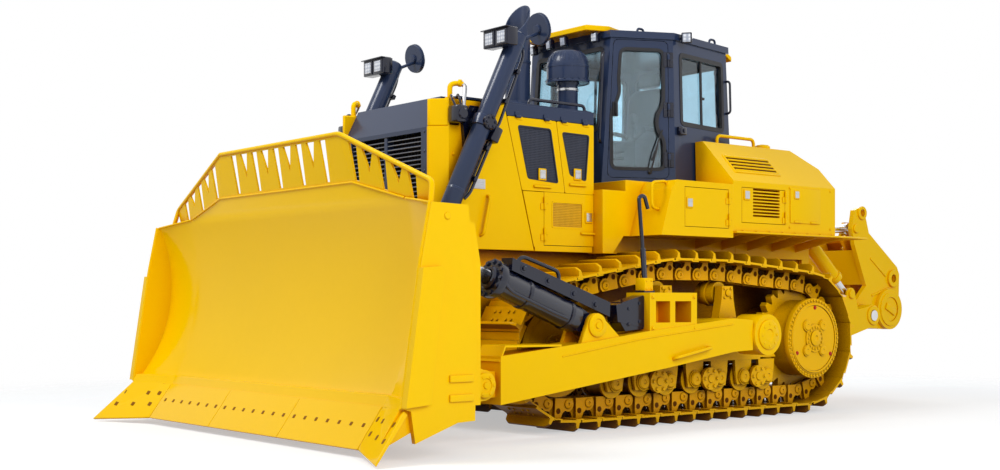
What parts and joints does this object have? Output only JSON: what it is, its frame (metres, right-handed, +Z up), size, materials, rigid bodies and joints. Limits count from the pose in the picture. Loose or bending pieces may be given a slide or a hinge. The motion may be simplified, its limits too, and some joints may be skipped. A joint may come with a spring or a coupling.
{
  "type": "tracked bulldozer",
  "caption": "Large tracked bulldozer with a semi-U blade on outside push arms, twin lift cylinders, a six-sided cab and a rear ripper frame without its shank.",
  "frame": {"origin": "on the ground under the middle of the machine's bounding box", "axes": "+X forward to the blade, +Y to the operator's left, +Z up"},
  "size_m": [9.5, 5.07, 4.2712],
  "materials": {
    "yellow_paint": "gloss enamel",
    "track_paint": "satin enamel",
    "slate_paint": "satin",
    "black_paint": "satin",
    "bright_steel": "polished",
    "glass": "clear",
    "engine_iron": "painted casting",
    "seat_fabric": "woven",
    "dark_plastic": "grained"
  },
  "bodies": {
    "hull": {"air_precleaner": "slate_paint", "bay_sides": "yellow_paint", "cab_glass": "glass", "cab_platform": "yellow_paint", "cab_shell": "slate_paint", "control_consoles": "dark_plastic", "engine_block": "engine_iron", "exhaust_stack": "slate_paint", "fenders": "yellow_paint", "final_drives": "track_paint", "handrails": "yellow_paint", "hood_cover": "slate_paint", "lift_yokes": "black_paint", "main_frame": "yellow_paint", "operator_seat": "seat_fabric", "radiator_grille": "black_paint", "radiator_guard": "yellow_paint", "rear_deck": "yellow_paint", "rear_tanks": "yellow_paint", "ripper_bracket": "yellow_paint", "sun_visors": "yellow_paint", "track_frames": "track_paint", "track_left": "track_paint", "track_right": "track_paint", "track_rollers": "track_paint"},
    "push_arm_pair": {"push_arms": "yellow_paint", "tilt_hose_guards": "black_paint", "hand_posts": "black_paint"},
    "blade": {"mouldboard": "yellow_paint", "blade_edges": "yellow_paint", "spill_screen": "yellow_paint"},
    "lift_tube_pair": {"lift_barrels": "slate_paint", "work_lamps": "black_paint", "round_mirrors": "black_paint"},
    "lift_rod_pair": {"lift_rods": "bright_steel"},
    "tilt_tube_pair": {"tilt_barrels": "black_paint"},
    "tilt_rod_pair": {"tilt_rods": "bright_steel"},
    "ripper_lift_frame": {"ripper_arm": "yellow_paint"},
    "ripper_pin": {"ripper_pivot_pin": "bright_steel"},
    "ripper_toolbar": {"ripper_beam": "yellow_paint"},
    "ripper_lift_tubes": {"ripper_lift_barrels": "yellow_paint"},
    "ripper_lift_rams": {"ripper_lift_rods": "bright_steel"},
    "ripper_tilt_tubes": {"ripper_tilt_barrels": "yellow_paint"},
    "ripper_tilt_rams": {"ripper_tilt_rods": "bright_steel"},
    "engine_door_front_left_body": {"engine_door_front_left": "yellow_paint"},
    "engine_door_rear_left_body": {"engine_door_rear_left": "yellow_paint"},
    "service_door_left_body": {"service_door_left": "yellow_paint"},
    "fender_door_left_body": {"fender_door_left": "yellow_paint"},
    "tank_door_left_body": {"tank_door_left": "yellow_paint"},
    "cab_door_left_body": {"cab_door_left": "slate_paint", "door_glass_left": "glass"},
    "engine_door_front_right_body": {"engine_door_front_right": "yellow_paint"},
    "engine_door_rear_right_body": {"engine_door_rear_right": "yellow_paint"},
    "service_door_right_body": {"service_door_right": "yellow_paint"},
    "fender_door_right_body": {"fender_door_right": "yellow_paint"},
    "tank_door_right_body": {"tank_door_right": "yellow_paint"},
    "cab_door_right_body": {"cab_door_right": "slate_paint", "door_glass_right": "glass"}
  },
  "joints": [
    {"name": "blade_lift", "type": "hinge", "parent": "hull", "child": "push_arm_pair", "pos_m": [-0.446, 0, 0.874], "axis": [0, -1, 0], "range_deg": [-7, 15]},
    {"name": "lift_tube_swing", "type": "hinge", "parent": "hull", "child": "lift_tube_pair", "pos_m": [2.534, 0, 2.83], "axis": [0, -1, 0], "range_deg": [-7.5, 14.8]},
    {"name": "lift_rod_slide", "type": "slide", "parent": "lift_tube_pair", "child": "lift_rod_pair", "axis": [0.4416, 0, -0.8972], "range_m": [-0.9399, 0.4439]},
    {"name": "blade_pitch", "type": "hinge", "parent": "push_arm_pair", "child": "blade", "pos_m": [3.16, 0, 0.506], "axis": [0, -1, 0], "range_deg": [-5, 5]},
    {"name": "tilt_tube_swing", "type": "hinge", "parent": "push_arm_pair", "child": "tilt_tube_pair", "pos_m": [1.867, 0, 0.993], "axis": [0, -1, 0], "range_deg": [-2.45, 2.45]},
    {"name": "tilt_rod_slide", "type": "slide", "parent": "tilt_tube_pair", "child": "tilt_rod_pair", "axis": [0.9371, 0, 0.349], "range_m": [-0.0842, 0.0842]},
    {"name": "ripper_lift", "type": "hinge", "parent": "hull", "child": "ripper_lift_frame", "pos_m": [-2.74, 0, 0.8], "axis": [0, 1, 0], "range_deg": [-22, 14]},
    {"name": "ripper_level", "type": "hinge", "parent": "ripper_lift_frame", "child": "ripper_pin", "pos_m": [-3.86, 0, 1.035], "axis": [0, 1, 0], "range_deg": [-15, 23]},
    {"name": "ripper_pitch", "type": "hinge", "parent": "ripper_pin", "child": "ripper_toolbar", "pos_m": [-3.86, 0, 1.035], "axis": [0, 1, 0], "range_deg": [-12, 12]},
    {"name": "ripper_lift_tube_swing", "type": "hinge", "parent": "hull", "child": "ripper_lift_tubes", "pos_m": [-2.64, 0, 1.95], "axis": [0, 1, 0], "range_deg": [-6.1, 4.2]},
    {"name": "ripper_lift_rod_slide", "type": "slide", "parent": "ripper_lift_tubes", "child": "ripper_lift_rams", "axis": [-0.7657, 0, -0.6432], "range_m": [-0.2044, 0.3154]},
    {"name": "ripper_tilt_tube_swing", "type": "hinge", "parent": "hull", "child": "ripper_tilt_tubes", "pos_m": [-2.69, 0, 2.05], "axis": [0, 1, 0], "range_deg": [-22.5, 14.7]},
    {"name": "ripper_tilt_rod_slide", "type": "slide", "parent": "ripper_tilt_tubes", "child": "ripper_tilt_rams", "axis": [-0.9986, 0, 0.0526], "range_m": [-0.2342, 0.2342]},
    {"name": "engine_door_front_left_hinge", "type": "hinge", "parent": "hull", "child": "engine_door_front_left_body", "pos_m": [1.5, 0.865, 2.953], "axis": [1, 0, 0], "range_deg": [0, 85]},
    {"name": "engine_door_rear_left_hinge", "type": "hinge", "parent": "hull", "child": "engine_door_rear_left_body", "pos_m": [1.5, 0.865, 2.953], "axis": [1, 0, 0], "range_deg": [0, 85]},
    {"name": "service_door_left_hinge", "type": "hinge", "parent": "hull", "child": "service_door_left_body", "pos_m": [1.663, 0.865, 2], "axis": [0, 0, -1], "range_deg": [0, 100]},
    {"name": "fender_door_left_hinge", "type": "hinge", "parent": "hull", "child": "fender_door_left_body", "pos_m": [-0.342, 1.435, 2.15], "axis": [0, 0, 1], "range_deg": [0, 100]},
    {"name": "tank_door_left_hinge", "type": "hinge", "parent": "hull", "child": "tank_door_left_body", "pos_m": [-1.242, 1.435, 2.2], "axis": [0, 0, 1], "range_deg": [0, 100]},
    {"name": "cab_door_left_hinge", "type": "hinge", "parent": "hull", "child": "cab_door_left_body", "pos_m": [0.00443, 0.91555, 3.1904], "axis": [-0.0102, -0.0211, 0.9997], "range_deg": [0, 105]},
    {"name": "engine_door_front_right_hinge", "type": "hinge", "parent": "hull", "child": "engine_door_front_right_body", "pos_m": [1.5, -0.865, 2.953], "axis": [-1, 0, 0], "range_deg": [0, 85]},
    {"name": "engine_door_rear_right_hinge", "type": "hinge", "parent": "hull", "child": "engine_door_rear_right_body", "pos_m": [1.5, -0.865, 2.953], "axis": [-1, 0, 0], "range_deg": [0, 85]},
    {"name": "service_door_right_hinge", "type": "hinge", "parent": "hull", "child": "service_door_right_body", "pos_m": [1.663, -0.865, 2], "axis": [0, 0, 1], "range_deg": [0, 100]},
    {"name": "fender_door_right_hinge", "type": "hinge", "parent": "hull", "child": "fender_door_right_body", "pos_m": [-0.342, -1.435, 2.15], "axis": [0, 0, -1], "range_deg": [0, 100]},
    {"name": "tank_door_right_hinge", "type": "hinge", "parent": "hull", "child": "tank_door_right_body", "pos_m": [-1.242, -1.435, 2.2], "axis": [0, 0, -1], "range_deg": [0, 100]},
    {"name": "cab_door_right_hinge", "type": "hinge", "parent": "hull", "child": "cab_door_right_body", "pos_m": [0.00443, -0.91555, 3.1904], "axis": [0.0102, -0.0211, -0.9997], "range_deg": [0, 105]}
  ],
  "couplings": [
    {"joint": "lift_tube_swing", "follows": "blade_lift", "ratio": 0.92262},
    {"joint": "lift_rod_slide", "follows": "blade_lift", "m_per_rad": -3.5519},
    {"joint": "tilt_tube_swing", "follows": "blade_pitch", "ratio": 0.39081},
    {"joint": "tilt_rod_slide", "follows": "blade_pitch", "m_per_rad": -0.90744},
    {"joint": "ripper_level", "follows": "ripper_lift", "ratio": -1},
    {"joint": "ripper_lift_tube_swing", "follows": "ripper_lift", "ratio": 0.23199},
    {"joint": "ripper_lift_rod_slide", "follows": "ripper_lift", "m_per_rad": -0.79545},
    {"joint": "ripper_tilt_tube_swing", "follows": "ripper_lift", "ratio": 0.97717},
    {"joint": "ripper_tilt_rod_slide", "follows": "ripper_pitch", "m_per_rad": -1.0704}
  ]
}
